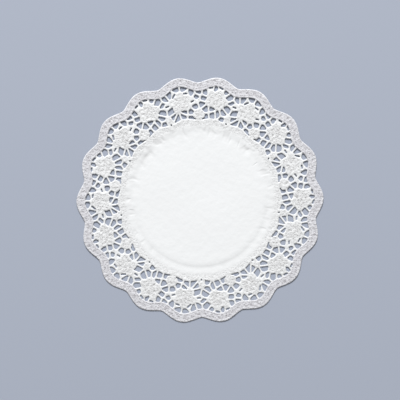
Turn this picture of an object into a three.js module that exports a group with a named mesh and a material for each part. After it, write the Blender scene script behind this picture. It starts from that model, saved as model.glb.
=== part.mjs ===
// A round paper doily: one sheet with a plain centre, a cut and embossed lace ring and a scalloped ribbon edge.
// Millimetres, +Z up. The origin is the middle of the underside, which lies flat on Z = 0.
import * as THREE from "three";

// Driving sizes
const CREST_RADIUS = 150; // where a scallop of the edge reaches furthest out
const SCALLOP_DEPTH = 7.4; // from a scallop's crest in to its trough
const SCALLOPS = 18;
const REPEATS = 9; // the lace is drawn once, over two scallops, and repeated
const SHEET = 1; // thickness of the flat sheet
const FIRST_CREST = 9; // degrees clockwise from +Y
const SCALLOP_ROUNDNESS = 0.75; // under 1 makes the crests broad and the troughs narrow

// The ribbon along the edge
const RIBBON_WIDTH = 11;
const CORD_INSET = 1.5; // from each side of the ribbon to the crest of its raised band
const BAND_HEIGHT = 0.6;

// The lace
const RIM_RADIUS = 97.4; // where the gaps begin, between two festoons
const RIM_WAVE = 2.4;
const BAR_WIDTH = 2.05; // the bridges between two gaps
const CORNER_BLEND = 0.5; // how softly the sides of a gap meet
const SEAT = 0.5; // flat rim left between a raised part and its cut edge

// The plain centre
const FESTOON_RADIUS = 95;
const FESTOON_CREST = 89.5;
const FESTOON_HEIGHT = 0.3;
const GROOVE_RADIUS = 82.5; // pressed ring around the plain middle
const GROOVE_HALF_WIDTH = 2.5;
const GROOVE_DEPTH = 0.25;
const CENTRE_SIDES = 54;

// How finely the curves are drawn
const POINTS_PER_SCALLOP = 10;
const GAP_RAYS = 40;
const RAY_STEP = 0.25;
const CORNER_AREA = 1.5; // a corner whose triangle is smaller than this, in mm², is left out

// One repeat of the lace, over 40 degrees. Each row is a gap: the angle of its middle in degrees
// clockwise, its radius, its pull against its neighbours, and the furthest that it reaches.
const GAP_COLUMNS = ["angle", "radius", "pull", "reach"];
const FREE = 9;
const GAPS = [
  [2.7, 130.5, 3.1, FREE],
  [2.1, 123.5, 2.6, FREE],
  [1.2, 116.0, 2.9, FREE],
  [3.4, 110.5, 3.5, FREE],
  [7.3, 111.0, 3.0, FREE],
  [3.9, 102.0, 2.4, FREE],
  [8.0, 103.5, 3.4, FREE],
  [11.5, 105.0, 2.9, FREE],
  [15.0, 108.0, 2.8, FREE],
  [14.9, 101.0, 2.7, FREE],
  [17.3, 114.0, 3.2, FREE],
  [5.7, 136.5, 1.9, 3.0],
  [8.4, 136.0, 2.3, FREE],
  [10.9, 137.5, 1.9, 3.0],
  [14.0, 134.0, 2.0, 3.4],
  [16.6, 128.5, 3.6, FREE],
  [20.6, 129.0, 2.9, FREE],
  [18.5, 123.0, 2.9, FREE],
  [20.8, 119.5, 1.8, 1.8],
  [21.6, 112.5, 3.6, FREE],
  [22.1, 105.0, 2.7, FREE],
  [23.4, 131.5, 3.3, FREE],
  [25.9, 130.0, 1.8, FREE],
  [27.6, 136.5, 2.8, FREE],
  [31.2, 136.0, 2.9, FREE],
  [32.2, 129.5, 1.7, FREE],
  [35.3, 130.5, 3.0, FREE],
  [39.0, 130.0, 1.9, FREE],
  [38.0, 124.5, 2.4, FREE],
  [35.9, 120.0, 1.7, 1.6],
  [36.9, 113.5, 3.0, 4.0],
  [24.9, 102.5, 3.0, FREE],
  [28.8, 102.5, 2.9, FREE],
  [30.6, 107.8, 2.2, FREE],
  [34.1, 107.0, 2.8, FREE],
  [34.0, 100.5, 2.1, FREE],
].map((row) => named(GAP_COLUMNS, row));
// The three smallest gaps of a repeat, under about 4 mm, are not cut.
const UNCUT = [18, 25, 29];

// The two flowers of a repeat. Each petal is a round lobe: its direction in degrees, turning from
// along the ring towards the edge, how far its tip is from the flower's middle, and its radius.
const PETAL_COLUMNS = ["direction", "tip", "lobe"];
const FLOWERS = [
  {
    angle: 9.2,
    radius: 122.5,
    core: 9.9,
    petals: [
      [70, 13.7, 5.4],
      [140, 13.9, 5.4],
      [203, 13.3, 6.0],
      [300, 13.3, 5.4],
      [352, 14.9, 5.4],
    ].map((row) => named(PETAL_COLUMNS, row)),
  },
  {
    angle: 28.9,
    radius: 120.5,
    core: 10.6,
    petals: [
      [24, 13.6, 5.4],
      [90, 13.3, 5.4],
      [172, 14.5, 5.4],
      [230, 14.0, 5.4],
      [316, 14.0, 5.4],
    ].map((row) => named(PETAL_COLUMNS, row)),
  },
];
const PETAL_HEIGHT = 0.8;
const FLOWER_EYE = 2.8; // radius of the raised knot in a flower's middle
const CREASE_HEIGHT = 0.15; // of the creases between the petals, at the knot
const CREST_SHARE = 0.62; // where a petal is highest, from the flower's middle to the tip
const SHOULDER = 17; // degrees from a petal's tip to each of its shoulders

// Round solid places: two buds at the rim, the foot of the smaller one, and a knot between bars.
const BUD_COLUMNS = ["angle", "radius", "size", "height"];
const BUDS = [
  [39.2, 103.0, 6.5, 0.6],
  [19.0, 104.0, 4.1, 0.5],
  [19.2, 99.8, 4.4, 0],
  [39.3, 121.2, 2.2, 0],
].map((row) => named(BUD_COLUMNS, row));
const BUD_SIDES = 8;

const REPEAT_ANGLE = 360 / REPEATS;
const NEIGHBOURS = [-REPEAT_ANGLE, 0, REPEAT_ANGLE];

function named(columns, row) {
  return Object.fromEntries(columns.map((column, i) => [column, row[i]]));
}

const radians = THREE.MathUtils.degToRad;

// The point at a clockwise angle from +Y, in degrees, and a radius.
function polar(angle, radius) {
  const turn = radians(angle);
  return new THREE.Vector2(radius * Math.sin(turn), radius * Math.cos(turn));
}

function clockwiseAngle(point) {
  return THREE.MathUtils.radToDeg(Math.atan2(point.x, point.y));
}

// 1 at the crest of a scallop and 0 in the trough beside it.
function swell(angle) {
  return (1 + Math.cos(radians(SCALLOPS * (angle - FIRST_CREST)))) / 2;
}

function edgeRadius(angle) {
  return CREST_RADIUS - SCALLOP_DEPTH * (1 - swell(angle) ** SCALLOP_ROUNDNESS);
}

// The inner side of the ribbon, which follows the scallops more softly than the edge does.
function ribbonRadius(angle) {
  return CREST_RADIUS - RIBBON_WIDTH - SCALLOP_DEPTH * (1 - swell(angle));
}

function rimRadius(angle) {
  return RIM_RADIUS + RIM_WAVE * swell(angle);
}

// A direction in a flower's own axes: x runs clockwise along the ring and y points to the edge.
function flowerDirection(flower, direction) {
  const turn = radians(direction - flower.angle);
  return new THREE.Vector2(Math.cos(turn), Math.sin(turn));
}

function flowerMiddle(flower) {
  return polar(flower.angle, flower.radius);
}

// How far the rounded outline of a flower is from its middle, in a direction.
function flowerReach(flower, direction) {
  const reaches = flower.petals.map(({ direction: middle, tip, lobe }) => {
    const away = radians(direction - middle);
    const distance = tip - lobe;
    const across = distance * Math.sin(away);
    if (Math.abs(across) > lobe) return 0;
    return distance * Math.cos(away) + Math.sqrt(lobe ** 2 - across ** 2);
  });
  return Math.max(flower.core, ...reaches);
}

// Everything that bounds the gaps, for the repeat and for the repeat on each side of it.
const seeds = NEIGHBOURS.flatMap((turn) =>
  GAPS.map(({ angle, radius, pull, reach }) => ({
    place: polar(angle + turn, radius),
    weight: pull ** 2,
    reach,
  })),
);
const solidDiscs = NEIGHBOURS.flatMap((turn) => [
  ...BUDS.map(({ angle, radius, size }) => ({ place: polar(angle + turn, radius), size })),
  ...FLOWERS.flatMap((flower) => {
    const placed = { ...flower, angle: flower.angle + turn };
    const middle = flowerMiddle(placed);
    const lobes = placed.petals.map(({ direction, tip, lobe }) => ({
      place: flowerDirection(placed, direction).multiplyScalar(tip - lobe).add(middle),
      size: lobe,
    }));
    return [{ place: middle, size: placed.core }, ...lobes];
  }),
]);

// How deep a point lies inside the gap that holds it, and below 0 on the paper. Each gap owns the
// points that are nearest to it, counting its pull; its sides are drawn in by half a bar, and
// solid places, the ribbon and the rim cut into it. The sides blend where they meet.
function gapDepth(point) {
  const powers = seeds.map((seed) => seed.place.distanceToSquared(point) - seed.weight);
  const own = powers.indexOf(Math.min(...powers));
  const owner = seeds[own];
  const angle = clockwiseAngle(point);
  const sides = [
    ribbonRadius(angle) - point.length(),
    point.length() - rimRadius(angle),
    owner.reach - owner.place.distanceTo(point),
    ...solidDiscs.map((disc) => disc.place.distanceTo(point) - disc.size),
  ];
  powers.forEach((power, i) => {
    if (i === own) return;
    const apart = 2 * seeds[i].place.distanceTo(owner.place);
    sides.push((power - powers[own]) / apart - BAR_WIDTH / 2);
  });
  const sum = sides.reduce((total, side) => total + Math.exp(-side / CORNER_BLEND), 0);
  return -CORNER_BLEND * Math.log(sum);
}

// The outline of one gap, found by walking out from its middle, with only the corners kept.
function gapOutline(middle) {
  const outline = [];
  for (let i = 0; i < GAP_RAYS; i++) {
    const step = polar((360 * i) / GAP_RAYS, RAY_STEP).negate();
    const point = middle.clone();
    let before = gapDepth(point);
    let depth = before;
    while (depth > 0) {
      before = depth;
      point.add(step);
      depth = gapDepth(point);
    }
    outline.push(point.addScaledVector(step, depth / (before - depth)));
  }
  return keepCorners(outline);
}

function triangleArea(a, b, c) {
  return Math.abs((b.x - a.x) * (c.y - a.y) - (c.x - a.x) * (b.y - a.y)) / 2;
}

// Leaves out the point that changes an outline least, until each one left matters.
function keepCorners(outline) {
  const kept = [...outline];
  while (kept.length > 3) {
    const areas = kept.map((point, i) =>
      triangleArea(kept.at(i - 1), point, kept[(i + 1) % kept.length]),
    );
    const least = Math.min(...areas);
    if (least > CORNER_AREA) break;
    kept.splice(areas.indexOf(least), 1);
  }
  return kept;
}

function turned(outline, angle) {
  const middle = new THREE.Vector2();
  return outline.map((point) => point.clone().rotateAround(middle, -radians(angle)));
}

// A closed ring of points at even angles, its radius a function of the angle.
function ring(count, radiusAt) {
  return Array.from({ length: count }, (_, i) => {
    const angle = FIRST_CREST - (360 * i) / count;
    return polar(angle, radiusAt(angle));
  });
}

// The mesh, gathered point by point and face by face, with its faces pointing out.
const places = [];
const faces = [];

function addPoint(flat, height) {
  places.push(flat.x, flat.y, height);
  return places.length / 3 - 1;
}

function addRing(outline, height) {
  return outline.map((point) => addPoint(point, height));
}

// Quads between two rings that have the same number of points. The outer one, or for a wall the
// lower one, comes first.
function addStrip(outer, inner) {
  outer.forEach((corner, i) => {
    const next = (i + 1) % outer.length;
    faces.push(corner, outer[next], inner[next]);
    faces.push(corner, inner[next], inner[i]);
  });
}

function addFan(rim, middle) {
  rim.forEach((corner, i) => faces.push(corner, rim[(i + 1) % rim.length], middle));
}

// A flat face between an outer ring and the rings cut out of it.
function addFlat(outer, holes, facesUp) {
  const flat = (index) => new THREE.Vector2(places[3 * index], places[3 * index + 1]);
  const corners = [outer, ...holes].flat();
  const triangles = THREE.ShapeUtils.triangulateShape(
    outer.map(flat),
    holes.map((hole) => hole.map(flat)),
  );
  for (const [a, b, c] of triangles) {
    const front = facesUp ? [a, b, c] : [a, c, b];
    faces.push(...front.map((i) => corners[i]));
  }
}

// A flower: raised petals round a knot. Returns the ring where it meets the flat sheet.
function addFlower(flower) {
  const middle = flowerMiddle(flower);
  const at = (direction, distance, height) =>
    addPoint(
      flowerDirection(flower, direction).multiplyScalar(distance).add(middle),
      SHEET + height,
    );
  const onOutline = (direction) => at(direction, flowerReach(flower, direction) - SEAT, 0);
  const petals = flower.petals;
  const notches = petals.map(({ direction }, i) => {
    const next = petals[(i + 1) % petals.length].direction;
    return direction + THREE.MathUtils.euclideanModulo(next - direction, 360) / 2;
  });
  const outerNotches = notches.map(onOutline);
  const innerNotches = notches.map((direction) => at(direction, FLOWER_EYE, CREASE_HEIGHT));
  const rim = [];
  petals.forEach(({ direction, tip }, i) => {
    const crest = at(direction, CREST_SHARE * tip, PETAL_HEIGHT);
    const round = [-SHOULDER, 0, SHOULDER].map((away) => onOutline(direction + away));
    const petal = [outerNotches.at(i - 1), ...round, outerNotches[i]];
    addFan([...petal, innerNotches[i], innerNotches.at(i - 1)], crest);
    rim.push(...petal.slice(1));
  });
  addFan(innerNotches, at(0, 0, PETAL_HEIGHT));
  return rim;
}

// A low round dome. Returns the ring where it meets the flat sheet.
function addBud({ angle, radius, size, height }) {
  const middle = polar(angle, radius);
  const outline = Array.from({ length: BUD_SIDES }, (_, i) =>
    polar((-360 * i) / BUD_SIDES, size - SEAT).add(middle),
  );
  const rim = addRing(outline, SHEET);
  addFan(rim, addPoint(middle, SHEET + height));
  return rim;
}

// A ring around the doily, repeated for each repeat of the lace.
function repeated(make) {
  return Array.from({ length: REPEATS }, (_, i) => make(i * REPEAT_ANGLE)).flat();
}

function makeDoily() {
  const cutGaps = GAPS.filter((_, i) => !UNCUT.includes(i)).map((gap) =>
    gapOutline(polar(gap.angle, gap.radius)),
  );
  const gapOutlines = repeated((angle) => cutGaps.map((outline) => turned(outline, angle)));
  const gapsBelow = gapOutlines.map((outline) => addRing(outline, 0));
  const gapsAbove = gapOutlines.map((outline) => addRing(outline, SHEET));
  gapsBelow.forEach((below, i) => addStrip(below, gapsAbove[i]));

  const edgePoints = SCALLOPS * POINTS_PER_SCALLOP;
  const edge = (inset, height) => addRing(ring(edgePoints, (a) => edgeRadius(a) - inset), height);
  const ribbonSide = (inset, height) =>
    addRing(ring(edgePoints, (a) => ribbonRadius(a) + inset), height);
  const edgeBelow = edge(0, 0);
  const ribbonRows = [
    edgeBelow,
    edge(0, SHEET),
    edge(CORD_INSET, SHEET + BAND_HEIGHT),
    ribbonSide(SEAT + CORD_INSET, SHEET + BAND_HEIGHT),
    ribbonSide(SEAT, SHEET),
  ];
  ribbonRows.slice(1).forEach((row, i) => addStrip(ribbonRows[i], row));

  const circle = (radius, height) => addRing(ring(CENTRE_SIDES, () => radius), height);
  const centreRows = [
    circle(FESTOON_RADIUS, SHEET),
    circle(FESTOON_CREST, SHEET + FESTOON_HEIGHT),
    circle(GROOVE_RADIUS + GROOVE_HALF_WIDTH, SHEET),
    circle(GROOVE_RADIUS, SHEET - GROOVE_DEPTH),
    circle(GROOVE_RADIUS - GROOVE_HALF_WIDTH, SHEET),
  ];
  centreRows.slice(1).forEach((row, i) => addStrip(centreRows[i], row));
  addFan(centreRows.at(-1), addPoint(new THREE.Vector2(), SHEET));

  const flowers = repeated((turn) =>
    FLOWERS.map((flower) => addFlower({ ...flower, angle: flower.angle + turn })),
  );
  const raisedBuds = BUDS.filter(({ height }) => height > 0);
  const buds = repeated((turn) =>
    raisedBuds.map((bud) => addBud({ ...bud, angle: bud.angle + turn })),
  );
  addFlat(ribbonRows.at(-1), [...gapsAbove, ...flowers, ...buds, centreRows[0]], true);
  addFlat(edgeBelow, gapsBelow, false);

  const geometry = new THREE.BufferGeometry();
  geometry.setAttribute("position", new THREE.Float32BufferAttribute(places, 3));
  geometry.setIndex(faces);
  geometry.computeVertexNormals();
  return geometry;
}

const paper = new THREE.MeshStandardMaterial({ color: 0xeeeff1, roughness: 0.85, metalness: 0 });
const doily = new THREE.Mesh(makeDoily(), paper);
doily.name = "doily";

const part = new THREE.Group();
part.add(doily);
export default part;
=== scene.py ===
# %% [markdown]
# # A round paper doily
# A paper doily is stamped from one thin sheet. The press cuts the gaps of the lace and the scalloped
# edge, and raises cords, petals and buds in the same stroke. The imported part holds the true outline,
# the larger gaps and a plain relief. Here the same sheet is made again, thin, with every gap cut and
# the whole relief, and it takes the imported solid's place.

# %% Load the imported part
import bpy
import numpy as np
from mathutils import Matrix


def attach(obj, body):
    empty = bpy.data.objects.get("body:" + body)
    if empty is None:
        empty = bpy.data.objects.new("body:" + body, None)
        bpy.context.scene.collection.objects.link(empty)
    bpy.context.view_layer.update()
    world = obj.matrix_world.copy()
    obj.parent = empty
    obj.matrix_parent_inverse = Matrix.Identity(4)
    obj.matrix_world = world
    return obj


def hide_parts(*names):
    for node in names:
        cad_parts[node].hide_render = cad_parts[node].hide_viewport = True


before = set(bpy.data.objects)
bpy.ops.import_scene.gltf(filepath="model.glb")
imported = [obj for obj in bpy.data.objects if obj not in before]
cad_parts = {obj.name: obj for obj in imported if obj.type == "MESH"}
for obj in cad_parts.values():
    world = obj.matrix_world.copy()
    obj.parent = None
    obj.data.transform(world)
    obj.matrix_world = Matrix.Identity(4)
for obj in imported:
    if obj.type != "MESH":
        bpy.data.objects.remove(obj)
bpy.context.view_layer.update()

# %% [markdown]
# ## The chart of the lace
# All sizes are in millimetres and all angles in degrees, clockwise from +Y, as a clock reads. The lace
# repeats nine times, so one repeat of 40 degrees is charted: the middle of each gap, how hard
# it pushes its neighbours away, and how far it may reach. Flowers and buds are groups of round discs.
# A gap that is only a slit has its place in the first table, where it holds the others off, and its
# two ends in the second.

# %% Sizes of the sheet
MM = 0.001
CREST_RADIUS = 150.0
SCALLOPS = 18
REPEATS = 9
REPEAT_ANGLE = 360 / REPEATS
FIRST_CREST = 9.0
SCALLOP_DEPTH = 7.4
SCALLOP_ROUNDNESS = 0.75
RIBBON_WIDTH = 10.6
RIM_RADIUS = 97.4
RIM_WAVE = 2.4
BAR_WIDTH = 2.05
CORNER_BLEND = 0.5
PAPER = 0.15
print("a sheet %.0f mm across with %d scallops" % (2 * CREST_RADIUS, SCALLOPS))

# %% One repeat of the lace
# A free gap reaches as far as its neighbours let it. A slit's place opens nothing by itself.
FREE = 9.0
SLIT = -FREE
# Columns: angle of the middle, radius, pull, reach.
GAPS = np.array([
    (3.1, 130.3, 2.9, FREE),
    (2.1, 123.5, 2.6, FREE),
    (1.2, 116.0, 2.9, FREE),
    (3.6, 110.5, 3.6, FREE),
    (6.9, 111.2, 3.0, FREE),
    (3.9, 102.0, 2.2, FREE),
    (8.4, 103.7, 3.5, FREE),
    (11.5, 105.0, 2.9, FREE),
    (15.0, 108.0, 2.8, FREE),
    (14.9, 101.0, 2.7, FREE),
    (17.3, 114.0, 3.2, FREE),
    (5.7, 136.5, 1.9, SLIT),
    (8.4, 136.0, 2.3, FREE),
    (10.9, 137.5, 1.9, SLIT),
    (14.0, 134.0, 2.0, 3.4),
    (16.6, 128.5, 3.6, FREE),
    (20.6, 129.0, 2.9, FREE),
    (18.5, 123.0, 2.9, FREE),
    (20.2, 119.6, 2.5, SLIT),
    (21.5, 112.1, 3.6, FREE),
    (22.5, 105.3, 2.3, FREE),
    (23.4, 131.5, 3.3, FREE),
    (25.9, 130.0, 1.8, SLIT),
    (27.6, 136.5, 2.8, FREE),
    (31.2, 136.0, 2.9, FREE),
    (32.2, 129.5, 1.7, SLIT),
    (35.1, 130.6, 2.2, FREE),
    (39.2, 131.0, 2.2, FREE),
    (38.0, 125.0, 2.6, 3.5),
    (35.9, 120.0, 1.7, SLIT),
    (37.1, 113.7, 3.0, 3.9),
    (24.9, 101.9, 3.0, FREE),
    (28.8, 102.5, 2.9, FREE),
    (30.6, 107.8, 2.2, FREE),
    (34.1, 107.0, 2.8, FREE),
    (34.0, 100.5, 2.1, FREE),
])
# The six slits, and the tails of two gaps, which run under the large bud: angle and radius of each
# end, and half the width.
SLITS = np.array([
    (1.8, 98.3, 3.9, 100.4, 0.6),
    (5.0, 136.2, 6.3, 136.9, 1.0),
    (10.2, 138.2, 11.6, 137.0, 1.1),
    (19.8, 119.3, 21.3, 119.5, 0.9),
    (25.1, 127.9, 26.4, 131.3, 1.0),
    (31.3, 130.3, 32.8, 130.0, 0.9),
    (34.8, 119.1, 36.2, 120.5, 0.8),
    (35.0, 100.0, 37.0, 98.3, 0.6),
])
# A pinhole in the rim, beside the small bud: angle, radius, size.
PINHOLE = (19.0, 97.1, 1.05)
# Flowers: angle and radius of the middle, and the radius of the solid core. Then the petals, one to
# a row: direction (0 along the ring, 90 towards the edge), distance of the tip, radius of the lobe.
# Then the creases between them, one to a row: direction, distance of the pit at its end, pit's depth.
FLOWERS = [
    (9.2, 122.5, 9.9, np.array([
        (70, 13.7, 5.4),
        (140, 13.9, 5.4),
        (203, 13.3, 6.0),
        (300, 13.3, 5.4),
        (352, 14.9, 5.4),
    ]), np.array([
        (26, 7.5, 1.0),
        (101, 6.8, 0.7),
        (166, 6.4, 0.8),
        (251, 5.0, 1.0),
        (325, 9.1, 0.6),
    ])),
    (28.9, 120.5, 10.6, np.array([
        (24, 13.6, 5.4),
        (90, 13.3, 5.4),
        (172, 14.5, 5.4),
        (230, 14.0, 5.4),
        (316, 14.0, 5.4),
    ]), np.array([
        (62, 6.2, 0.5),
        (146, 5.6, 0.5),
        (204, 6.4, 0.8),
        (271, 6.6, 0.8),
        (350, 7.0, 0.4),
    ])),
]
# Solid discs: angle, radius, size. Two buds, the foot of the smaller bud, a knot between bars, and a
# shoulder beside the first flower.
BUDS = np.array([
    (39.3, 103.5, 7.1),
    (18.6, 104.0, 4.1),
    (19.0, 99.6, 4.4),
    (39.3, 121.2, 2.2),
    (5.0, 132.5, 2.8),
])
# Pits pressed into the knot, the large bud and the rim: angle, radius, depth.
LONE_PITS = np.array([
    (39.3, 121.2, 0.9),
    (39.3, 107.2, 0.6),
    (20.7, 99.6, 0.7),
])
print(REPEATS, "repeats, each with", len(GAPS), "middles of gaps and", len(FLOWERS), "flowers")

# %% [markdown]
# ## Shapes that follow the scallops
# Every curve of the edge is a function of the angle alone, so whole rings of points are worked out at
# once. `swell` runs from 0 in a trough to 1 on a crest, and the edge, the ribbon's inner side and the
# rim of the lace all follow it, each by its own amount.

# %% Curves around the ring
def polar(angle, radius):
    """Points at clockwise angles: x is radius times sine, y is radius times cosine."""
    turn = np.radians(angle)
    return np.stack([radius * np.sin(turn), radius * np.cos(turn)], axis=-1)


def angle_and_radius(points):
    """The clockwise angle from +Y, from 0 to 360 degrees, and the distance from the middle."""
    return np.degrees(np.arctan2(points[..., 0], points[..., 1])) % 360, np.hypot(*points.T).T


def swell(angle):
    """Half of one plus the cosine, 18 times round, with a crest at the first crest's angle."""
    return (1 + np.cos(np.radians(SCALLOPS * (angle - FIRST_CREST)))) / 2


def edge_radius(angle):
    """The crest radius less the scallop's depth, where the power of the swell gives broad crests."""
    return CREST_RADIUS - SCALLOP_DEPTH * (1 - swell(angle) ** SCALLOP_ROUNDNESS)


def ribbon_radius(angle):
    """The inner side of the ribbon, which follows the scallops more softly than the edge does."""
    return CREST_RADIUS - RIBBON_WIDTH - SCALLOP_DEPTH * (1 - swell(angle))


def rim_radius(angle):
    """Where the gaps begin: the rim's radius plus its small wave times the swell."""
    return RIM_RADIUS + RIM_WAVE * swell(angle)


print("edge from %.1f to %.1f mm" % (edge_radius(FIRST_CREST + 10), edge_radius(FIRST_CREST)))

# %% [markdown]
# ## How deep a point lies in a gap
# Lace like this is a net of straight bars between solid places. Each gap owns the points nearest to
# its middle, counting its pull, so the border between two gaps is a straight bar. Drawing the sides in
# by half a bar, and cutting away flowers, buds, ribbon and rim, leaves the open gap. Each gap could be
# drawn as an outline instead, but two outlines would then have to agree on every bar, and here all the
# bars come out equally wide by themselves. One number says it all: positive inside a gap, zero on its
# cut edge, negative on the paper, roughly in millimetres.

# %% Flowers and buds as discs
def flower_axes(angle):
    """Two unit vectors at a place on the ring: clockwise along it, and outwards."""
    turn = np.radians(angle)
    return np.array([np.cos(turn), -np.sin(turn)]), np.array([np.sin(turn), np.cos(turn)])


def flower_places(flower, directions, distances_out):
    """Places in a flower: its middle, plus each distance along its direction."""
    along, outwards = flower_axes(flower[0])
    turn = np.radians(directions)[:, None]
    directed = np.cos(turn) * along + np.sin(turn) * outwards
    return polar(*flower[:2]) + distances_out[:, None] * directed


def petal_middles(flower):
    """The middle of each petal's lobe: from the flower's middle, along the petal's direction."""
    petals = flower[3]
    return flower_places(flower, petals[:, 0], petals[:, 1] - petals[:, 2])


disc_places = [polar(BUDS[:, 0], BUDS[:, 1])]
disc_sizes = [BUDS[:, 2]]
for flower in FLOWERS:
    disc_places += [polar(flower[0], flower[1])[None], petal_middles(flower)]
    disc_sizes += [np.array([flower[2]]), flower[3][:, 2]]
disc_places = np.concatenate(disc_places)
disc_sizes = np.concatenate(disc_sizes)
print(len(disc_places), "solid discs in a repeat")

# %% The depth function
def turned(points, angle):
    """Points turned clockwise about the middle of the doily."""
    cosine, sine = np.cos(np.radians(angle)), np.sin(np.radians(angle))
    return points @ np.array([[cosine, -sine], [sine, cosine]])


def with_neighbours(points):
    """The points of one repeat, and of the repeats before and after it."""
    return np.concatenate([turned(points, t) for t in (0, REPEAT_ANGLE, -REPEAT_ANGLE)])


SEEDS = with_neighbours(polar(GAPS[:, 0], GAPS[:, 1]))
SEED_WEIGHTS = np.tile(GAPS[:, 2] ** 2, 3)
SEED_REACH = np.tile(GAPS[:, 3], 3)
SLIT_STARTS = with_neighbours(polar(SLITS[:, 0], SLITS[:, 1]))
SLIT_ENDS = with_neighbours(polar(SLITS[:, 2], SLITS[:, 3]))
SLIT_WIDTHS = np.tile(SLITS[:, 4], 3)
DISCS = with_neighbours(disc_places)
DISC_SIZES = np.tile(disc_sizes, 3)
PINHOLES = with_neighbours(polar(*PINHOLE[:2])[None])


def into_repeat(points):
    """Points turned back into the first repeat, which stands for all nine."""
    angle, radius = angle_and_radius(points)
    return polar(angle % REPEAT_ANGLE, radius)


def distances(points, places):
    """The distance of every point from every place, as a table."""
    return np.linalg.norm(points[:, None] - places, axis=-1)


def segment_distances(points, starts, ends):
    """The distance of every point from every segment, as a table. The nearest place on a segment is
    its start plus a share of the way to its end: the point's way along the segment over its length,
    held to 0 to 1."""
    way = ends - starts
    from_start = points[:, None] - starts
    share = np.clip((from_start * way).sum(axis=-1) / (way**2).sum(axis=-1), 0, 1)
    return np.linalg.norm(from_start - share[..., None] * way, axis=-1)


def slit_depths(folded):
    """How deep every point lies in every slit: half the slit's width less the distance from its line."""
    return SLIT_WIDTHS - segment_distances(folded, SLIT_STARTS, SLIT_ENDS)


def gap_depth(points):
    """The soft smallest of: half the difference in squared distance to the own and to another middle,
    over their spacing, less half a bar; the distance inside the ribbon, the rim and the reach; and
    the distance outside each disc. Soft smallest: minus k times the log of the sum of exp(-side/k).
    A slit or a pinhole goes through whatever is there: its half width less the distance from it."""
    folded = into_repeat(points)
    angle, radius = angle_and_radius(folded)
    spans = distances(folded, SEEDS)
    powers = spans**2 - SEED_WEIGHTS
    own = powers.argmin(axis=1)
    rows = np.arange(len(points))
    spacing = distances(SEEDS, SEEDS)[own]
    spacing[rows, own] = np.inf
    bars = (powers - powers[rows, own, None]) / (2 * spacing) - BAR_WIDTH / 2
    bars[rows, own] = np.inf
    bounds = np.stack([
        ribbon_radius(angle) - radius,
        radius - rim_radius(angle),
        SEED_REACH[own] - spans[rows, own],
    ], axis=1)
    sides = np.concatenate([bars, bounds, distances(folded, DISCS) - DISC_SIZES], axis=1)
    soft = -CORNER_BLEND * np.log(np.exp(-sides / CORNER_BLEND).sum(axis=1))
    slits = slit_depths(folded).max(axis=1)
    pinholes = PINHOLE[2] - distances(folded, PINHOLES).min(axis=1)
    return np.maximum(soft, np.maximum(slits, pinholes))


print("depth at the first gap's middle: %.2f mm" % gap_depth(polar(*GAPS[0, :2])[None])[0])

# %% [markdown]
# ## A sheet on a polar grid
# The sheet is a grid of two parameters, the angle and the share of the way in. The rows follow the
# scallops in the ribbon and relax to circles towards the middle, where fewer and fewer points are
# needed, so the number of columns halves now and then. Filling the outlines with free triangles would
# be shorter, but it leaves long thin ones, and a relief needs points that lie evenly. So an even grid
# comes first, the cuts come next, and the heights last.

# %% Rows of points
COLUMNS = 48 * SCALLOPS
PITS_PER_SCALLOP = 6
# The row of pits lies at this share of the way across the ribbon, from its edge. The rows of points
# are close together there and over the cords.
PIT_LINE = 0.42
RIBBON_ROWS = np.array([
    0, 0.05, 0.11, 0.17, 0.25, 0.335, PIT_LINE, 0.505, 0.59, 0.68, 0.76, 0.83, 0.89, 0.945, 1,
])
LACE_ROWS = 40
LACE_FOOT = 95.0
# Circles inside the lace, as (radius, columns): close together over the pressed ring.
CIRCLES = (
    [(radius, COLUMNS // 2) for radius in (93.3, 91.4, 89.4, 87.3, 85.3, 83.6, 82.1, 80.5, 78.6)]
    + [(radius, COLUMNS // 4) for radius in (74.8, 70.5, 65.0, 58.5)]
    + [(radius, COLUMNS // 8) for radius in (51.0, 43.0, 34.0, 25.0)]
    + [(radius, COLUMNS // 16) for radius in (17.0, 10.0)]
    + [(4.0, COLUMNS // 32)]
)

# The row of pits is measured in short steps: so many in one scallop, and so many all the way round.
SCALLOP_STEPS = 1000
ROUND_STEPS = 20000
steps = np.linspace(0, 1, SCALLOP_STEPS + 1)
one_scallop = FIRST_CREST + 360 / SCALLOPS * steps
pit_line = edge_radius(one_scallop) * (1 - PIT_LINE) + ribbon_radius(one_scallop) * PIT_LINE
line_points = polar(one_scallop, pit_line)
line_length = np.append(0, np.cumsum(np.linalg.norm(np.diff(line_points, axis=0), axis=1)))
PIT_PITCH = line_length[-1] / PITS_PER_SCALLOP


def scallops_passed(angle):
    """How many scallops lie between the first crest and an angle, counted by length along the row of
    pits: whole scallops, plus the length passed in this one over its whole length."""
    scallop = (angle - FIRST_CREST) * SCALLOPS / 360
    whole = np.floor(scallop)
    return whole + np.interp(scallop - whole, steps, line_length / line_length[-1])


def angles_around(count):
    """Angles at even lengths along the row of pits, from one crest round to the next and on."""
    fine = FIRST_CREST + 360 * np.linspace(0, 1, ROUND_STEPS + 1)
    return np.interp(SCALLOPS * np.arange(count) / count, scallops_passed(fine), fine)


around = angles_around(COLUMNS)
edge, ribbon_side = edge_radius(around), ribbon_radius(around)
ribbon_share = RIBBON_ROWS[:, None]
lace_share = np.linspace(0, 1, LACE_ROWS + 1)[1:, None]
ring_radii = np.concatenate([
    edge + (ribbon_side - edge) * ribbon_share,
    ribbon_side + (LACE_FOOT - ribbon_side) * lace_share,
])
rows = [polar(around, radii) for radii in ring_radii]
rows += [polar(angles_around(count), np.full(count, radius)) for radius, count in CIRCLES]
rows.append(np.zeros((1, 2)))
grid = np.concatenate(rows)
row_starts = np.cumsum([0] + [len(row) for row in rows])
print(len(rows), "rows,", len(grid), "grid points, a pit every %.1f mm of the ribbon" % PIT_PITCH)

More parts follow.
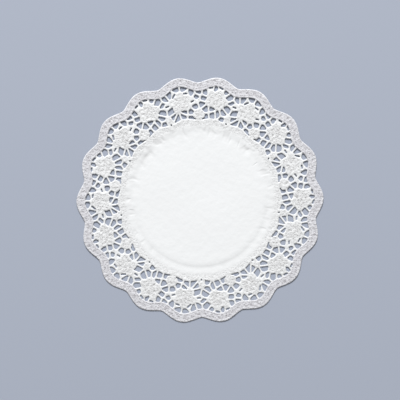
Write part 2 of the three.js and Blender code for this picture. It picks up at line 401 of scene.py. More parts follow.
# %% Triangles between the rows
def strip(outer, inner):
    """Two triangles for each pair of neighbours in rows of the same length."""
    next_outer, next_inner = np.roll(outer, -1), np.roll(inner, -1)
    return [np.stack([outer, next_outer, next_inner], 1), np.stack([outer, next_inner, inner], 1)]


def halving_strip(outer, inner):
    """Three triangles for each point of an inner row that has half the points of the outer."""
    first, middle, last = outer[0::2], outer[1::2], np.roll(outer, -2)[0::2]
    after = np.roll(inner, -1)
    return [
        np.stack([first, middle, inner], 1),
        np.stack([middle, after, inner], 1),
        np.stack([middle, last, after], 1),
    ]


def fan(outer, middle):
    """One triangle for each pair of neighbours and the middle point."""
    return [np.stack([outer, np.roll(outer, -1), np.full(len(outer), middle[0])], 1)]


triangles = []
for k in range(len(rows) - 1):
    outer = np.arange(row_starts[k], row_starts[k + 1])
    inner = np.arange(row_starts[k + 1], row_starts[k + 2])
    join = strip if len(outer) == len(inner) else fan if len(inner) == 1 else halving_strip
    triangles += join(outer, inner)
triangles = np.concatenate(triangles)


def twice_area(points, faces):
    """Twice the signed area of each triangle, positive when it faces up."""
    a, b, c = points[faces[:, 0]], points[faces[:, 1]], points[faces[:, 2]]
    return (b[:, 0] - a[:, 0]) * (c[:, 1] - a[:, 1]) - (b[:, 1] - a[:, 1]) * (c[:, 0] - a[:, 0])


downwards = twice_area(grid, triangles) < 0
triangles[downwards] = triangles[downwards][:, [0, 2, 1]]
print(len(triangles), "triangles in the uncut sheet")

# %% [markdown]
# ## Cutting the gaps
# The die's cut has to be smooth, and a grid cut along its own lines would look like stairs. Points
# close to a cut edge are first slid onto it, or deeper in when they lie inside a slit, so that no
# triangle reaches across it. Each triangle that still crosses the edge is then split where the
# depth passes zero, and only its paper side is kept. Two triangles that share a side share the new
# point on it, so the sheet stays in one piece.

# %% Slide near points onto pits and cuts
SNAP = 0.26
PROBE = 0.02
# How far in from a slit's side its points are slid, as a share of half its width.
SLIT_SHARE = 0.7
# Where the depth changes slowly, a point would slide too far, so the squared slope counts as this.
LEAST_STEEPNESS = 0.25

pit_places = [polar(LONE_PITS[:, 0], LONE_PITS[:, 1])]
pit_strengths = [LONE_PITS[:, 2]]
for flower in FLOWERS:
    creases = flower[4]
    pit_places.append(flower_places(flower, creases[:, 0], creases[:, 1]))
    pit_strengths.append(creases[:, 2])
pit_places = np.concatenate(pit_places)
pit_strengths = np.concatenate(pit_strengths)
all_pits = np.concatenate([turned(pit_places, REPEAT_ANGLE * k) for k in range(REPEATS)])

in_lace = np.zeros(len(grid), bool)
in_lace[row_starts[len(RIBBON_ROWS) - 2]:row_starts[len(RIBBON_ROWS) - 1 + LACE_ROWS]] = True
lace_points = np.flatnonzero(in_lace)
grid[lace_points[distances(grid[lace_points], all_pits).argmin(axis=0)]] = all_pits
depth = np.full(len(grid), -FREE)
depth[in_lace] = gap_depth(grid[in_lace])
near = np.flatnonzero(np.abs(depth) < SNAP)
slope = np.stack([
    (gap_depth(grid[near] + step) - gap_depth(grid[near] - step)) / (2 * PROBE)
    for step in PROBE * np.eye(2)
], axis=1)
in_slits = slit_depths(into_repeat(grid[near]))
in_slit = (depth[near] > 0) & np.isclose(in_slits.max(axis=1), depth[near])
goal = np.where(in_slit, SLIT_SHARE * SLIT_WIDTHS[in_slits.argmax(axis=1)], 0)
steepness = np.maximum((slope**2).sum(axis=1), LEAST_STEEPNESS)
grid[near] += ((goal - depth[near]) / steepness)[:, None] * slope
depth[near] = goal
print(len(near), "points slid,", in_slit.sum(), "of them deeper into a slit")

# %% Split the triangles that cross the cut
HALVINGS = 6


def roll_to_front(faces, chosen):
    """Each triangle turned round until its chosen corner comes first."""
    shift = chosen.argmax(axis=1)[:, None]
    return np.take_along_axis(faces, (np.arange(3) + shift) % 3, axis=1)


def crossing_points(paper_ends, gap_ends):
    """Where the depth is zero between each paper end and gap end. The stretch is halved six times, and
    each time the half is kept whose ends still lie on the two sides of the cut."""
    for _ in range(HALVINGS):
        middles = (paper_ends + gap_ends) / 2
        open_middles = gap_depth(middles)[:, None] > 0
        gap_ends = np.where(open_middles, middles, gap_ends)
        paper_ends = np.where(open_middles, paper_ends, middles)
    return (paper_ends + gap_ends) / 2


def cut_sheet(points, faces, depth):
    """Paper corners have a depth below 0. A triangle with one paper corner keeps a smaller one, with
    two it keeps a four-sided piece, and one that touches the cut with a corner keeps its paper half.
    One with all its corners on the cut is kept if its middle is paper."""
    side = np.sign(depth).astype(int)
    corner = side[faces]
    ends = faces[:, [[0, 1], [1, 2], [2, 0]]].reshape(-1, 2)
    crossing = np.unique(np.sort(ends[side[ends].prod(axis=1) < 0], axis=1), axis=0)
    keys = crossing[:, 0] * len(points) + crossing[:, 1]
    by_side = np.take_along_axis(crossing, depth[crossing].argsort(axis=1), axis=1)
    new_points = crossing_points(*points[by_side.T])

    def between(a, b):
        """The number of the new point on the side from a to b."""
        key = np.minimum(a, b) * len(points) + np.maximum(a, b)
        return len(points) + np.searchsorted(keys, key)

    in_gap, on_paper = (corner > 0).sum(1), (corner < 0).sum(1)
    flat = (in_gap == 0) & (on_paper == 0)
    flat[flat] = gap_depth(points[faces[flat]].mean(axis=1)) < 0
    kept = [faces[(in_gap == 0) & (on_paper > 0) | flat]]
    one = (on_paper == 1) & (in_gap == 2)
    a, b, c = roll_to_front(faces[one], corner[one] < 0).T
    kept.append(np.stack([a, between(a, b), between(a, c)], 1))
    two = (on_paper == 2) & (in_gap == 1)
    a, b, c = roll_to_front(faces[two], corner[two] > 0).T
    kept.append(np.stack([between(a, b), b, c], 1))
    kept.append(np.stack([between(a, b), c, between(a, c)], 1))
    touching = (on_paper == 1) & (in_gap == 1)
    a, b, c = roll_to_front(faces[touching], corner[touching] == 0).T
    paper_next = side[b] < 0
    cross = between(b, c)
    kept.append(np.stack([a, np.where(paper_next, b, cross), np.where(paper_next, cross, c)], 1))
    return np.concatenate([points, new_points]), np.concatenate(kept)


cut_points, cut_faces = cut_sheet(grid, triangles, depth)
used, cut_faces = np.unique(cut_faces, return_inverse=True)
cut_faces = cut_faces.reshape(-1, 3)
sheet = cut_points[used]
sides = np.sort(cut_faces[:, [[0, 1], [1, 2], [2, 0]]].reshape(-1, 2), axis=1)
openings = 1 + len(np.unique(sides, axis=0)) - len(sheet) - len(cut_faces)
print(openings, "openings are cut, by Euler's count of points, sides and triangles")

# %% [markdown]
# ## The relief
# Heights are worked out for all points at once, from the distances that the chart gives. Cords are
# soft ridges along a line. Petals and buds are low domes, and the crease between two petals starts in
# a pit. The ribbon has a row of pits too, and its outer cord is beaded. The whole sheet rounds down to
# its cut edges. A real sheet never lies quite flat either, so slow waves and radial puckers are added.
# All this could be a displacement in the material, but then only a render would have it. Moving the
# points keeps the relief in the mesh, and only what is finer than its points is left to the material.

# %% Ridges, steps and domes
def ridge(distance, width):
    """A rounded ridge: the squared cosine across its width, 1 on its line and 0 outside."""
    return np.cos(np.pi / 2 * np.clip(np.abs(distance) / width, 0, 1)) ** 2


def ramp(value, start, end):
    """A smooth step from 0 at the start to 1 at the end: three t squared less two t cubed."""
    t = np.clip((value - start) / (end - start), 0, 1)
    return t * t * (3 - 2 * t)


def dome(distance, size):
    """One less the square of the distance over the size, and never below 0."""
    return np.clip(1 - (distance / size) ** 2, 0, 1)


print("halfway: ridge %.2f, step %.2f, dome %.2f" % (ridge(0.5, 1), ramp(0.5, 0, 1), dome(0.5, 1)))


# %% Flowers
# A cord's line runs this far inside the side that it follows.
CORD_LINE = 1.2
CORD_WIDTH = 1.5
PETAL_CORD = 0.18
PETAL_DOME = 0.16
# A petal's dome ends this far outside its lobe, so that it is not yet flat at the petal's side.
DOME_MARGIN = 1
CREASE_WIDTH = 1.1
CREASE_DEPTH = 0.16
KNOT = 3.0
KNOT_HEIGHT = 0.14


def flower_relief(points, flower):
    """Heights, and how far inside the flower each point is: the largest of each disc's size less the
    distance from its middle. The height is a cord along the side, plus a dome in each petal, plus a
    knot in the middle, less a crease. A crease is a ridge turned down, along the segment from its pit
    out to the notch between two petals."""
    petals, creases = flower[3:]
    reach = np.linalg.norm(points - polar(*flower[:2]), axis=1)
    lobes = distances(points, petal_middles(flower))
    inside = np.maximum((petals[:, 2] - lobes).max(axis=1), flower[2] - reach)
    starts = flower_places(flower, creases[:, 0], creases[:, 1])
    ends = flower_places(flower, creases[:, 0], np.full(len(creases), flower[2]))
    off_crease = segment_distances(points, starts, ends).min(axis=1)
    height = (
        PETAL_CORD * ridge(inside - CORD_LINE, CORD_WIDTH)
        + PETAL_DOME * dome(lobes, petals[:, 2] + DOME_MARGIN).max(axis=1)
        - CREASE_DEPTH * ridge(off_crease, CREASE_WIDTH)
        + KNOT_HEIGHT * dome(reach, KNOT)
    )
    return np.where(inside > 0, height, 0), inside


for flower in FLOWERS:
    knot_height = flower_relief(polar(*flower[:2])[None], flower)[0][0]
    print("the knot of the flower at %.1f degrees is %.2f mm high" % (flower[0], knot_height))

# %% Buds
BUD_CORD = 0.10
# The cord fades out over this distance, towards the rim.
BUD_CORD_FADE = 3
BUD_DOME = 0.15
# Only the first two discs of the chart are raised.
RAISED_BUDS = 2


def bud_relief(points, place, size):
    """A cord round the bud, which fades where the bud grows out of the rim, plus a low dome in it."""
    inside = size - np.linalg.norm(points - place, axis=1)
    middle = np.linalg.norm(place)
    outer = ramp(np.linalg.norm(points, axis=1), middle - BUD_CORD_FADE, middle)
    cord = BUD_CORD * ridge(inside - CORD_LINE, CORD_WIDTH) * outer
    return np.where(inside > 0, cord + BUD_DOME * dome(size - inside, size), 0), inside


bud_places = with_neighbours(polar(BUDS[:RAISED_BUDS, 0], BUDS[:RAISED_BUDS, 1]))
bud_sizes = np.tile(BUDS[:RAISED_BUDS, 2], 3)
print("raised buds %.1f and %.1f mm across" % tuple(2 * BUDS[:RAISED_BUDS, 2]))

# %% Ribbon
BEADS_PER_SCALLOP = 12
EDGE_CORD = 0.26
EDGE_BEAD = 0.12
LACE_CORD = 0.28
CROWN = 0.16
CROWN_BEAD = 0.06
# The crown rises between these two distances from either side of the ribbon.
CROWN_SIDE = (2.2, 3.6)
RIBBON_PIT_SIZE = 1.7


def ribbon_relief(angle, radius):
    """A cord along each side of the ribbon, a low crown between them, and beads: the cord at the edge
    and the crown both swell and sink with the cosine of the scallops passed, twelve times a scallop.
    Also returns the distance from the nearer side and the share of a pit. A pit is a dome turned
    down, half as deep in a trough as on a crest."""
    from_edge = edge_radius(angle) - radius
    from_lace = radius - ribbon_radius(angle)
    passed = scallops_passed(angle)
    bead = -np.cos(2 * np.pi * BEADS_PER_SCALLOP * passed)
    crown = ramp(from_edge, *CROWN_SIDE) * ramp(from_lace, *CROWN_SIDE)
    height = (
        (EDGE_CORD + EDGE_BEAD * bead) * ridge(from_edge - CORD_LINE, CORD_WIDTH)
        + LACE_CORD * ridge(from_lace - CORD_LINE, CORD_WIDTH)
        + (CROWN + CROWN_BEAD * bead) * crown
    )
    off_line = from_edge - PIT_LINE * (from_edge + from_lace)
    along = ((PITS_PER_SCALLOP * passed) % 1 - 0.5) * PIT_PITCH
    pit = dome(np.hypot(along, off_line), RIBBON_PIT_SIZE) * (0.5 + 0.5 * swell(angle) ** 0.5)
    return height, np.minimum(from_edge, from_lace), pit


print(PITS_PER_SCALLOP * SCALLOPS, "pits and", BEADS_PER_SCALLOP * SCALLOPS, "beads round the ribbon")

# %% Rim and pressed ring
RIM_CORD = 0.22
FESTOON = 91.0
FESTOON_WAVE = 2.0
FESTOON_WIDTH = 1.8
FESTOON_DEPTH = 0.10
# The radii between which the pressed ring falls, and rises again, and the rim rises.
FALL_RADII = (78.8, 82.0)
RISE_RADII = (82.2, 90)
RIM_RADII = (90.5, 98)
RIM_RISE = 0.15
# How far the sheet falls into the pressed ring and how far it rises out of it, at every 45 degrees
# from the top of the picture round to it again.
RING_FALL = np.array([0.03, 0.08, 0.20, 0.36, 0.43, 0.32, 0.16, 0.05, 0.03])
RING_RISE = np.array([0.42, 0.38, 0.30, 0.20, 0.15, 0.20, 0.32, 0.40, 0.42])


def by_direction(angle, values):
    """Values given at every 45 degrees, with straight lines between them."""
    return np.interp(angle, 45 * np.arange(9), values)


def middle_relief(angle, radius):
    """A cord below the rim; then a shallow festoon that follows the scallops, and the pressed ring,
    which falls steeply on its inner side and rises gently on its outer side and again at the rim."""
    rim_cord = RIM_CORD * ridge(rim_radius(angle) - radius - CORD_LINE, CORD_WIDTH)
    festoon = FESTOON_DEPTH * ridge(radius - FESTOON - FESTOON_WAVE * swell(angle), FESTOON_WIDTH)
    fall = by_direction(angle, RING_FALL) * ramp(radius, *FALL_RADII)
    rise = by_direction(angle, RING_RISE) * ramp(radius, *RISE_RADII)
    rim_rise = RIM_RISE * ramp(radius, *RIM_RADII)
    return rim_cord, rise + rim_rise - fall - festoon


print("the ring falls %.2f mm at its deepest and rises %.2f mm" % (RING_FALL.max(), RING_RISE.max()))

# %% Slow waves and puckers
WAVES = 9
WAVE_HEIGHT = 0.12
# The least and most turning of a wave, in radians a millimetre.
WAVE_TURNING = (0.04, 0.1)
PUCKER_SETS = 20
# Half the number of puckers in a set: from the first of these up to just under the second.
PUCKER_HALVES = (10, 34)
PUCKER_SLOPE = 0.03
PUCKER_SLANT = 0.07
PUCKER_RADII = (80, 92)
PUCKER_REACH = 8
# The radius at which a pucker is as steep as said, and from which its slant is counted.
PUCKER_MIDDLE = 85
draw = np.random.default_rng(18)
wave_vectors = polar(360 / WAVES * np.arange(WAVES), draw.uniform(*WAVE_TURNING, WAVES))
wave_starts = draw.uniform(0, 2 * np.pi, WAVES)
pucker_counts = 2 * draw.integers(*PUCKER_HALVES, PUCKER_SETS)
pucker_slants = draw.normal(0, PUCKER_SLANT, PUCKER_SETS)
pucker_starts = draw.uniform(0, 2 * np.pi, PUCKER_SETS)
pucker_radii = draw.uniform(*PUCKER_RADII, PUCKER_SETS)
# How strongly the sheet is pulled, at every 45 degrees from the top of the picture round to it again.
PULL = np.array([0.6, 0.9, 0.65, 0.3, 0.0, 0.3, 0.9, 1.0, 0.6])


def cockle(points, angle, radius):
    """A sum of nine slow sine waves across the sheet, in nine directions, over the root of nine, plus
    puckers either side of the pressed ring. A set of puckers is the size of the sine of half its count
    times the angle, plus its slant times the radius, plus its start, less the mean of that size. So it
    has round hills between sharp valleys. It fades away from its own radius, and its height falls with
    its count, so that all sets are equally steep."""
    waves = np.sin(points @ wave_vectors.T + wave_starts).sum(axis=1) / np.sqrt(WAVES)
    turn = np.radians(angle)[:, None]
    slanted = pucker_slants * (radius[:, None] - PUCKER_MIDDLE)
    phase = pucker_counts / 2 * turn + slanted + pucker_starts
    puckers = np.abs(np.sin(phase)) - 2 / np.pi
    near = ridge(radius[:, None] - pucker_radii, PUCKER_REACH)
    fine = (puckers * near * PUCKER_SLOPE * PUCKER_MIDDLE / pucker_counts).sum(axis=1)
    return WAVE_HEIGHT * waves + by_direction(angle, PULL) * fine


print("puckers round the ring, in sets:", *sorted(pucker_counts))

# %% The sheet rounds down to its cuts
LEVEL = 0.25
# Over this distance from a cut, the height is the level times t times two less t.
BAR_ROUND = 1.1
# The distance from the cuts is worked out from this far inside the lace's foot.
LACE_MARGIN = 3
angle, radius = angle_and_radius(sheet)
folded = into_repeat(sheet)
lace_zone = radius > LACE_FOOT - LACE_MARGIN
paper_depth = np.full(len(sheet), FREE)
paper_depth[lace_zone] = np.maximum(-gap_depth(sheet[lace_zone]), 0)
edge_round = np.minimum(paper_depth, np.maximum(edge_radius(angle) - radius, 0)) / BAR_ROUND
edge_round = np.clip(edge_round, 0, 1)
height = LEVEL * edge_round * (2 - edge_round)
print("%.0f%% of the points feel a cut" % (100 * (edge_round < 1).mean()))

# %% Raise the flowers and buds
# How thickly the linen texture lies on the rim, on the bars, at a petal's side, how much more in the
# petal's middle, and on a bud. The same amounts grey the paper there with painted shade, for the small
# shadows that the texture holds.
RIM_LINEN = 0.7
BAR_LINEN = 0.35
PETAL_LINEN = 0.7
PETAL_LINEN_MORE = 0.3
BUD_LINEN = 0.9
# It fades in between two radii, and between two distances inside the side of a petal or bud.
LINEN_RADII = (87, 94)
RIM_BLEND = 1
PETAL_SIDE = (-0.3, 0.5)
PETAL_INNER = (1.5, 3.0)
BUD_SIDE = (-0.3, 0.7)
# The rim's cord fades out between these distances inside a bud's side.
BUD_COVER = (-2.5, 0.5)
on_bars = ramp(radius, rim_radius(angle) - RIM_BLEND, rim_radius(angle) + RIM_BLEND)
linen = ramp(radius, *LINEN_RADII) * (RIM_LINEN - (RIM_LINEN - BAR_LINEN) * on_bars)
for flower in FLOWERS:
    raised, inside = flower_relief(folded, flower)
    height += raised
    side_linen = PETAL_LINEN * ramp(inside, *PETAL_SIDE)
    linen = np.maximum(linen, side_linen + PETAL_LINEN_MORE * ramp(inside, *PETAL_INNER))
bud_cover = np.zeros(len(sheet))
for place, size in zip(bud_places, bud_sizes):
    raised, inside = bud_relief(folded, place, size)
    height += raised
    linen = np.maximum(linen, BUD_LINEN * ramp(inside, *BUD_SIDE))
    bud_cover = np.maximum(bud_cover, ramp(inside, *BUD_COVER))
print("the lace rises to %.2f mm over its lowest cut" % height.max())

# %% Raise the ribbon, press the pits and the ring, and pull the sheet
# The ribbon's texture and its painted shade fade in between two distances inside its side, and are
# thinner on its cords.
RIBBON_SIDE = (-0.6, 0.3)
CORD_THINNING = 0.08
PIT_SIZE = 1.3
PIT_DEPTH = 0.4
# The pull fades in between the first two radii and out between the second two.
PULL_START = (74, 85)
PULL_END = (87, 92)
raised, inside, pit = ribbon_relief(angle, radius)
height += np.where(inside > 0, raised, 0)
on_ribbon = ramp(inside, *RIBBON_SIDE)
band = on_ribbon - CORD_THINNING * ridge(inside - CORD_LINE, CORD_WIDTH)
linen *= 1 - on_ribbon
lone = dome(distances(folded, with_neighbours(pit_places)), PIT_SIZE) * np.tile(pit_strengths, 3)
pit = np.maximum(pit, lone.max(axis=1))
height -= PIT_DEPTH * pit
rim_cord, ring = middle_relief(angle, radius)
height += rim_cord * (1 - bud_cover) + ring
height += cockle(sheet, angle, radius)
# The pull also greys the ring a little in the material, as painted shade.
pull = by_direction(angle, PULL) * ramp(radius, *PULL_START) * (1 - ramp(radius, *PULL_END))
height -= height.min()
print("relief and waves up to %.2f mm" % height.max())

# %% [markdown]
# ## Giving the sheet its two faces
# The underside is the same sheet, one paper thickness lower, so the relief shows there as hollows, as
# on real stamped paper. Walls along every cut edge close the two faces into one thin body. A Solidify
# modifier would do much the same, but made here every wall is upright and each triangle is counted.
# The walls are shaded flat, which keeps the cut edges crisp, and the faces smooth.

# %% Build the mesh
def open_sides(faces):
    """The sides that only one triangle has, with their ends in that triangle's order."""
    sides = faces[:, [[0, 1], [1, 2], [2, 0]]].reshape(-1, 2)
    keys = np.sort(sides, axis=1) @ np.array([len(sheet), 1])
    values, counts = np.unique(keys, return_counts=True)
    return sides[counts[np.searchsorted(values, keys)] == 1]


# How far the count of scallops by length runs ahead of the count by angle.
drift = scallops_passed(angle) - angle * SCALLOPS / 360
count = len(sheet)
top = np.column_stack([sheet, height + PAPER])
under = np.column_stack([sheet, height])
start, end = open_sides(cut_faces).T
walls = np.concatenate([
    np.stack([start, start + count, end + count], 1),
    np.stack([start, end + count, end], 1),
])
all_faces = np.concatenate([cut_faces, cut_faces[:, ::-1] + count, walls])
mesh = bpy.data.meshes.new("paper_doily")
mesh.from_pydata(np.concatenate([top, under]) * MM, [], all_faces)
smooth = np.ones(len(all_faces), bool)
smooth[-len(walls):] = False
mesh.polygons.foreach_set("use_smooth", smooth)
# Linen, band, pit and pull also set how much painted shade greys the colour in the material.
marks = {"linen": linen, "band": band, "pit": pit, "drift": drift, "pull": pull}
for name, values in marks.items():
    layer = mesh.attributes.new(name, "FLOAT", "POINT")
    layer.data.foreach_set("value", np.tile(values, 2).astype(np.float32))
mesh.update()
doily = bpy.data.objects.new("paper_doily", mesh)
bpy.context.scene.collection.objects.link(doily)
print(len(all_faces), "triangles,", len(walls) // 2, "walls; valid:", not mesh.validate())

# %% [markdown]
# ## White embossed paper
# Doily paper is a soft, bleached, matt sheet. Fibres too fine to see singly cover all of it, and its
# plain middle is faintly crumpled. The press leaves a linen of small dimples and specks in the rim,
# petals and buds, and cross ribs along the ribbon. Short creases stand beside the pressed ring, where
# the sheet was pulled. Pressed places look a little greyer, because their texture holds small shadows,
# and this shade is painted into the colour, as it is in the pits, the creases and where the sheet is
# pulled.
# The mesh carries five numbers at each point for this: where linen, ribbon, pits and pull lie, and the
# drift that keeps the ribs in step with the scallops. All else is noise and cells on the sheet's own
# place in space, in metres, so that nothing has to be unwrapped.

# %% Helpers for shader nodes
def add_node(tree, kind, **settings):
    """A new node with its properties set by name."""
    node = tree.nodes.new(kind)
    for key, value in settings.items():
        setattr(node, key, value)
    return node


def math_node(tree, operation, *values):
    """The output of a math node. Each value is a number or another socket."""
    node = add_node(tree, "ShaderNodeMath", operation=operation)
    for socket, value in zip(node.inputs, values):
        if isinstance(value, bpy.types.NodeSocket):
            tree.links.new(value, socket)
        else:
            socket.default_value = value
    return node.outputs[0]


def noise_node(tree, place, scale, detail):
    """The factor of a noise texture with so many lumps to a metre."""
    noise = add_node(tree, "ShaderNodeTexNoise")
    noise.inputs["Scale"].default_value = scale
    noise.inputs["Detail"].default_value = detail
    tree.links.new(place, noise.inputs["Vector"])
    return noise.outputs["Fac"]


def range_node(tree, value, start, end, first, last):
    """A smooth step from the first number to the last, while the value goes from start to end."""
    step = add_node(tree, "ShaderNodeMapRange", interpolation_type="SMOOTHSTEP")
    for socket, number in zip(step.inputs[1:5], (start, end, first, last)):
        socket.default_value = number
    tree.links.new(value, step.inputs["Value"])
    return step.outputs["Result"]


def bump_node(tree, height, strength, distance, normal=None):
    """The normal of a bump, on top of another bump's normal where one is given."""
    bump = add_node(tree, "ShaderNodeBump")
    bump.inputs["Strength"].default_value = strength
    bump.inputs["Distance"].default_value = distance
    tree.links.new(height, bump.inputs["Height"])
    if normal is not None:
        tree.links.new(normal, bump.inputs["Normal"])
    return bump.outputs["Normal"]


print("a node each for sums, noise, smooth steps and bumps")

# %% Where each texture lies
paper = bpy.data.materials.new("white_paper")
paper.use_nodes = True
tree = paper.node_tree
shader = tree.nodes["Principled BSDF"]
shader.inputs["Specular IOR Level"].default_value = 0.2
place = add_node(tree, "ShaderNodeTexCoord").outputs["Object"]
parts = add_node(tree, "ShaderNodeSeparateXYZ")
tree.links.new(place, parts.inputs[0])
masks = {}
for name in marks:
    masks[name] = add_node(tree, "ShaderNodeAttribute", attribute_name=name).outputs["Fac"]
print("the material reads", *masks)

# %% Ribs of the ribbon and dimples of the petals
RIBS_PER_SCALLOP = 24
RIB_HEIGHT = 0.12
# How many dimples and specks there are to a metre.
DIMPLES = 470
SPECKS = 300
DIMPLE_UNEVENNESS = 0.75
# A dimple is deep up to the first distance from its middle, and ends at the second.
DIMPLE_SIDE = (0.12, 0.5)
DIMPLE_DEPTH = 0.85
SPECK_HEIGHT = 5.0
# The heights above are multiples of this height in metres.
PRESSED = 0.0002
turn = math_node(tree, "ARCTAN2", parts.outputs["X"], parts.outputs["Y"])
passed = math_node(tree, "MULTIPLY_ADD", turn, SCALLOPS / (2 * np.pi), masks["drift"])
ribs = math_node(tree, "SINE", math_node(tree, "MULTIPLY", passed, 2 * np.pi * RIBS_PER_SCALLOP))
ribs = math_node(tree, "MULTIPLY", ribs, masks["band"])
cells = add_node(tree, "ShaderNodeTexVoronoi", voronoi_dimensions="3D", feature="F1")
cells.inputs["Scale"].default_value = DIMPLES
cells.inputs["Randomness"].default_value = DIMPLE_UNEVENNESS
tree.links.new(place, cells.inputs["Vector"])
dimple = range_node(tree, cells.outputs["Distance"], *DIMPLE_SIDE, 1, 0)
textured = math_node(tree, "MAXIMUM", masks["linen"], masks["band"])
dimples = math_node(tree, "MULTIPLY", dimple, textured)
specks = noise_node(tree, place, SPECKS, 2)
specks = math_node(tree, "MULTIPLY", math_node(tree, "SUBTRACT", specks, 0.5), textured)
pressed = math_node(tree, "MULTIPLY", dimples, -DIMPLE_DEPTH)
pressed = math_node(tree, "MULTIPLY_ADD", ribs, RIB_HEIGHT, pressed)
pressed = math_node(tree, "MULTIPLY_ADD", specks, SPECK_HEIGHT, pressed)
normal = bump_node(tree, pressed, 1.0, PRESSED)
print("ribs every %.1f mm of the ribbon" % (PIT_PITCH * PITS_PER_SCALLOP / RIBS_PER_SCALLOP))

# %% Creases beside the ring
# The sheet is unrolled at the ring's radius and shrunk outwards, so that the creases run outwards.
RING_RADIUS = 85 * MM
SHRINK = 0.35
CREASES = 88
# A crease lies where its noise is less than this far from a half.
CREASE_SIDE = 0.13
CREASE_DROP = 0.00038
# Creases lie in patches: how many there are to a metre, and the noise at which they fade in.
PATCHES = 70
PATCH_SIDE = (0.42, 0.6)
length = add_node(tree, "ShaderNodeVectorMath", operation="LENGTH")
tree.links.new(place, length.inputs[0])
unrolled = add_node(tree, "ShaderNodeCombineXYZ")
tree.links.new(math_node(tree, "MULTIPLY", turn, RING_RADIUS), unrolled.inputs["X"])
tree.links.new(math_node(tree, "MULTIPLY", length.outputs["Value"], SHRINK), unrolled.inputs["Y"])
crease = noise_node(tree, unrolled.outputs["Vector"], CREASES, 1)
off_crease = math_node(tree, "ABSOLUTE", math_node(tree, "SUBTRACT", crease, 0.5))
crease = range_node(tree, off_crease, 0, CREASE_SIDE, 1, 0)
patches = range_node(tree, noise_node(tree, place, PATCHES, 0), *PATCH_SIDE, 0, 1)
crease = math_node(tree, "MULTIPLY", math_node(tree, "MULTIPLY", crease, patches), masks["pull"])
normal = bump_node(tree, crease, 1.0, -CREASE_DROP, normal)
print("creases up to %.2f mm deep beside the ring" % (CREASE_DROP / MM))

# %% Crumple and fibres
CRUMPLES = 120
CRUMPLE_HEIGHT = 0.00026
FIBRES = 1200
FIBRE_HEIGHT = 0.00008
FIBRE_STRENGTH = 0.25
crumple = noise_node(tree, place, CRUMPLES, 3)
normal = bump_node(tree, crumple, 1.0, CRUMPLE_HEIGHT, normal)
fibre = noise_node(tree, place, FIBRES, 5)
normal = bump_node(tree, fibre, FIBRE_STRENGTH, FIBRE_HEIGHT, normal)
tree.links.new(normal, shader.inputs["Normal"])
print("crumples about %.0f mm apart, fibres about %.1f mm" % (1 / CRUMPLES / MM, 1 / FIBRES / MM))

# %% Colour and gloss
WHITE = (0.91, 0.923, 0.933, 1)
SHADOW = (0.45, 0.44, 0.44, 1)
# The ribbon is a touch cooler, and this is the colour that it leans to.
COOL = (0.63, 0.6, 0.89, 1)
RIBBON_COOLNESS = 0.1
ROUGHNESS = 0.78
FIBRE_ROUGHNESS = 0.15
# How far each mark takes the white towards the shadow colour. All but the last are painted shade: the
# small shadows of the linen and of the ribbon's texture, shade in the dimples, pits and creases, and a
# little where the sheet is pulled beside the ring. The specks darken and lighten the paper at random.
SHADES = (
    (masks["linen"], 0.19),
    (masks["band"], 0.38),
    (dimples, 0.5),
    (masks["pit"], 0.45),
    (crease, 0.16),
    (masks["pull"], 0.05),
    (specks, 0.85),
)
shade = 0
for texture, strength in SHADES:
    shade = math_node(tree, "MULTIPLY_ADD", texture, strength, shade)
tint = add_node(tree, "ShaderNodeMix", data_type="RGBA", clamp_factor=True)
tint.inputs["A"].default_value = WHITE
tint.inputs["B"].default_value = SHADOW
tree.links.new(shade, tint.inputs["Factor"])
cool = add_node(tree, "ShaderNodeMix", data_type="RGBA")
cool.inputs["B"].default_value = COOL
tree.links.new(tint.outputs["Result"], cool.inputs["A"])
tree.links.new(math_node(tree, "MULTIPLY", masks["band"], RIBBON_COOLNESS), cool.inputs["Factor"])
tree.links.new(cool.outputs["Result"], shader.inputs["Base Color"])
roughness = math_node(tree, "MULTIPLY_ADD", fibre, FIBRE_ROUGHNESS, ROUGHNESS)
tree.links.new(roughness, shader.inputs["Roughness"])
mesh.materials.append(paper)
print("material", paper.name, "with", len(tree.nodes), "nodes")

# %% [markdown]
# ## Setting it in the frame
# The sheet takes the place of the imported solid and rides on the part's one body.

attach(doily, "root")
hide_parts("doily")

# %% [markdown]
# ## Floor, light and camera
# The doily is seen from straight above. A pale floor and a broad soft light keep the white paper
# white, and the light stands towards the top of the picture, low enough to draw the relief.

# %% Floor
FLOOR_REACH = 1.5
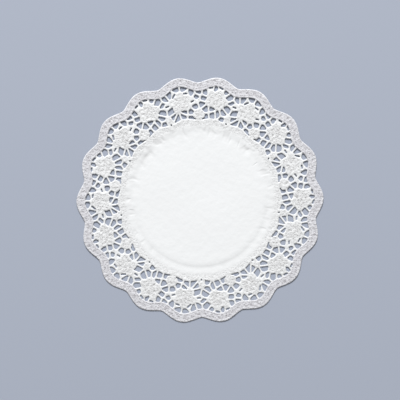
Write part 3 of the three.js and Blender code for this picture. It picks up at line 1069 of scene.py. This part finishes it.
# A hair under the sheet, so that the two never lie in one plane.
FLOOR_DROP = 0.0002
floor_mesh = bpy.data.meshes.new("floor")
corners = FLOOR_REACH * np.array([(-1, -1, 0), (1, -1, 0), (1, 1, 0), (-1, 1, 0)])
floor_mesh.from_pydata(corners, [], [(0, 1, 2, 3)])
floor = bpy.data.objects.new("floor", floor_mesh)
floor.location.z = -FLOOR_DROP
bpy.context.scene.collection.objects.link(floor)
floor_paint = bpy.data.materials.new("pale_floor")
floor_paint.use_nodes = True
floor_shader = floor_paint.node_tree.nodes["Principled BSDF"]
floor_shader.inputs["Base Color"].default_value = (0.41, 0.45, 0.54, 1)
floor_shader.inputs["Roughness"].default_value = 0.9
floor_mesh.materials.append(floor_paint)
print("floor", 2 * FLOOR_REACH, "m square")

# %% Lights
def area_light(name, place, size, power):
    """A square lamp that faces the middle of the doily."""
    lamp = bpy.data.lights.new(name, "AREA")
    lamp.size = size
    lamp.energy = power
    made = bpy.data.objects.new(name, lamp)
    made.location = place
    made.rotation_euler = (-made.location).to_track_quat("-Z", "Y").to_euler()
    bpy.context.scene.collection.objects.link(made)


area_light("key", place=(-0.8, 6.8, 4.2), size=3.2, power=912)
world = bpy.data.worlds.new("studio")
world.use_nodes = True
world.node_tree.nodes["Background"].inputs["Color"].default_value = (1, 1, 1, 1)
world.node_tree.nodes["Background"].inputs["Strength"].default_value = 0.27
bpy.context.scene.world = world
bpy.context.scene.view_settings.view_transform = "Standard"
print("one lamp and an even sky")

# %% Camera
# The crests' circle has this radius in the picture, which is this many pixels wide.
CREST_PIXELS = 123.5
PICTURE = 400
DISTANCE = 1.4
SENSOR = 36
camera_data = bpy.data.cameras.new("camera")
camera_data.sensor_width = SENSOR
camera_data.lens = SENSOR * DISTANCE / (PICTURE / CREST_PIXELS * CREST_RADIUS * MM)
camera = bpy.data.objects.new("camera", camera_data)
camera.location = (0, 0, DISTANCE)
bpy.context.scene.collection.objects.link(camera)
bpy.context.scene.camera = camera
print("lens %.1f mm" % camera_data.lens)
